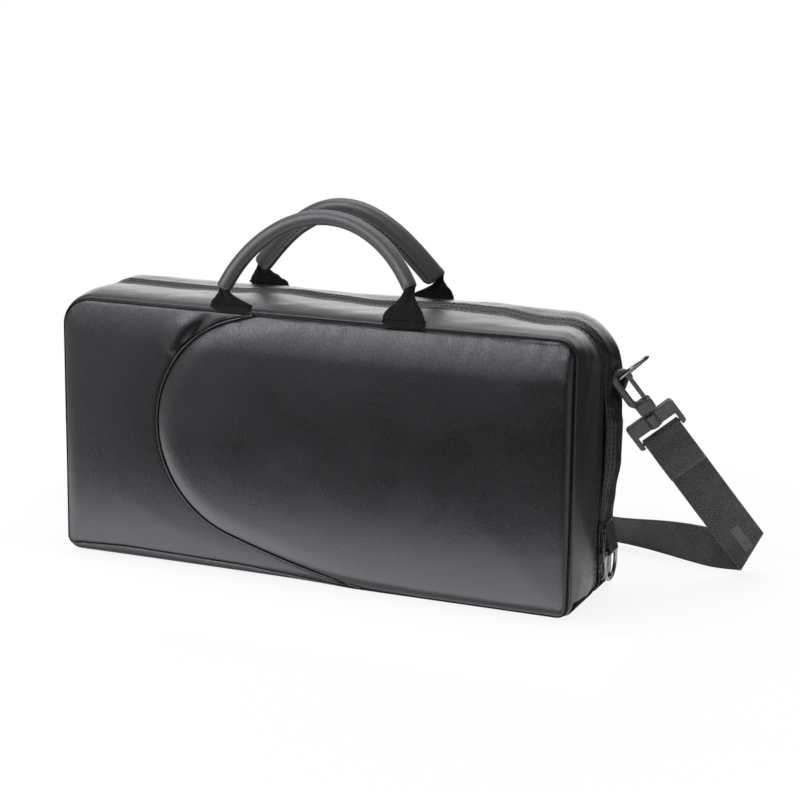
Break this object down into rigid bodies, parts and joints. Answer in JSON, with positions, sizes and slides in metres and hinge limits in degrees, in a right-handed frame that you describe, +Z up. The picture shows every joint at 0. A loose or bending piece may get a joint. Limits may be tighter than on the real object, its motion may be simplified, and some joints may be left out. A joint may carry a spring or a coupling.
{
  "type": "clarinet case",
  "caption": "Semi-soft zip-closed clarinet case in black leatherette, standing upright, with two arched carrying handles, D-rings, a clip-on shoulder strap and a fitted plush interior",
  "frame": {"origin": "centre of the case's flat bottom, on the surface it stands on", "axes": "+X along the case to its right end, -Y to its front (the lid), +Z up"},
  "size_m": [0.5838, 0.2125, 0.2668],
  "materials": {
    "leatherette": "semi-matte embossed grain",
    "piping": "smooth",
    "handle_leather": "smooth",
    "tab_leather": "semi-matte",
    "handle_core": "matte",
    "webbing": "woven",
    "foam_board": "matte",
    "plush": "short pile",
    "ribbon": "woven",
    "zip_tape": "woven",
    "zip_coil": "satin",
    "zip_metal": "black nickel",
    "ring_metal": "gunmetal",
    "black_plastic": "satin"
  },
  "bodies": {
    "tray": {"tray_shell": "foam_board", "tray_lining": "plush", "tray_gusset": "leatherette", "tray_bottom": "leatherette", "back_piping": "piping", "back_panel": "leatherette", "zip_tape_tray": "zip_tape", "zip_coil_tray": "zip_coil", "zip_stops_tray": "zip_metal", "insert": "plush", "accessory_hinge": "ribbon", "hinge_strip": "leatherette", "upper_tab_right": "tab_leather", "upper_tab_left": "tab_leather", "lower_tab_right": "tab_leather", "lower_tab_left": "tab_leather", "hook_base_right": "black_plastic", "hook_base_left": "black_plastic", "strap": "webbing"},
    "lid": {"lid_shell": "foam_board", "lid_lining": "plush", "lid_gusset": "leatherette", "lid_bottom": "leatherette", "front_piping": "piping", "front_panel_left": "leatherette", "front_panel_right": "leatherette", "curve_piping": "piping", "zip_tape_lid": "zip_tape", "zip_coil_lid": "zip_coil", "zip_stops_lid": "zip_metal"},
    "front_handle": {"front_handle_grip": "handle_leather", "front_handle_core": "handle_core", "front_handle_webbing": "webbing"},
    "rear_handle": {"rear_handle_grip": "handle_leather", "rear_handle_core": "handle_core", "rear_handle_webbing": "webbing"},
    "zip_slider": {"zip_slider": "zip_metal"},
    "zip_pull": {"zip_pull": "zip_metal"},
    "accessory_lid": {"accessory_lid": "plush", "accessory_pull": "ribbon"},
    "upper_ring_right": {"upper_ring_right": "ring_metal"},
    "upper_ring_left": {"upper_ring_left": "ring_metal"},
    "lower_ring_right": {"lower_ring_right": "ring_metal"},
    "lower_ring_left": {"lower_ring_left": "ring_metal"},
    "snap_hook_right": {"snap_hook_right": "black_plastic"},
    "snap_hook_left": {"snap_hook_left": "black_plastic"},
    "gate_right": {"hook_gate_right": "black_plastic"},
    "gate_left": {"hook_gate_left": "black_plastic"},
    "adjuster": {"strap_adjuster": "black_plastic"}
  },
  "joints": [
    {"name": "lid_hinge", "type": "hinge", "parent": "tray", "child": "lid", "pos_m": [0, 0.01, 0], "axis": [1, 0, 0], "range_deg": [0, 170], "deforming": ["hinge_strip"]},
    {"name": "front_handle_hinge", "type": "hinge", "parent": "lid", "child": "front_handle", "pos_m": [0.0055, -0.047, 0.1975], "axis": [1, 0, 0], "range_deg": [-8, 125]},
    {"name": "rear_handle_hinge", "type": "hinge", "parent": "tray", "child": "rear_handle", "pos_m": [-0.01, 0.047, 0.1975], "axis": [1, 0, 0], "range_deg": [-124, 8]},
    {"name": "zip_slide", "type": "slide", "parent": "tray", "child": "zip_slider", "axis": [0, 0, 1], "range_m": [0, 0.1]},
    {"name": "zip_pull_hinge", "type": "hinge", "parent": "zip_slider", "child": "zip_pull", "pos_m": [0.202, 0.01, 0.047], "axis": [0, -1, 0], "range_deg": [0, 170]},
    {"name": "accessory_lid_hinge", "type": "hinge", "parent": "tray", "child": "accessory_lid", "pos_m": [-0.017, -0.002, 0.0428], "axis": [1, 0, 0], "range_deg": [0, 88], "deforming": ["accessory_hinge"]},
    {"name": "upper_ring_right_hinge", "type": "hinge", "parent": "tray", "child": "upper_ring_right", "pos_m": [0.204, 0.035, 0.155], "axis": [0, 1, 0], "range_deg": [-40, 60]},
    {"name": "upper_ring_left_hinge", "type": "hinge", "parent": "tray", "child": "upper_ring_left", "pos_m": [-0.204, 0.035, 0.155], "axis": [0, -1, 0], "range_deg": [-40, 60]},
    {"name": "lower_ring_right_hinge", "type": "hinge", "parent": "tray", "child": "lower_ring_right", "pos_m": [0.202, 0.027, 0.031], "axis": [0, -1, 0], "range_deg": [0, 160]},
    {"name": "lower_ring_left_hinge", "type": "hinge", "parent": "tray", "child": "lower_ring_left", "pos_m": [-0.202, 0.027, 0.031], "axis": [0, 1, 0], "range_deg": [0, 160]},
    {"name": "hook_swivel_right", "type": "hinge", "parent": "tray", "child": "snap_hook_right", "pos_m": [0.21946, 0.04425, 0.12867], "axis": [0.4547, 0.4397, -0.7745], "range_deg": [-6, 6]},
    {"name": "hook_swivel_left", "type": "hinge", "parent": "tray", "child": "snap_hook_left", "pos_m": [-0.21946, 0.04425, 0.12867], "axis": [0.4547, -0.4397, 0.7745], "range_deg": [-6, 6]},
    {"name": "gate_hinge_right", "type": "hinge", "parent": "snap_hook_right", "child": "gate_right", "pos_m": [0.22039, 0.04317, 0.13635], "axis": [0.508, -0.8423, -0.18], "range_deg": [0, 15], "stiffness_Nm_per_rad": 0.01, "springref_deg": -17.19},
    {"name": "gate_hinge_left", "type": "hinge", "parent": "snap_hook_left", "child": "gate_left", "pos_m": [-0.22039, 0.04317, 0.13635], "axis": [0.508, 0.8423, 0.18], "range_deg": [0, 15], "stiffness_Nm_per_rad": 0.01, "springref_deg": -17.19},
    {"name": "adjuster_slide", "type": "slide", "parent": "tray", "child": "adjuster", "axis": [0.4547, -0.4397, 0.7745], "range_m": [0, 0.05]}
  ]
}
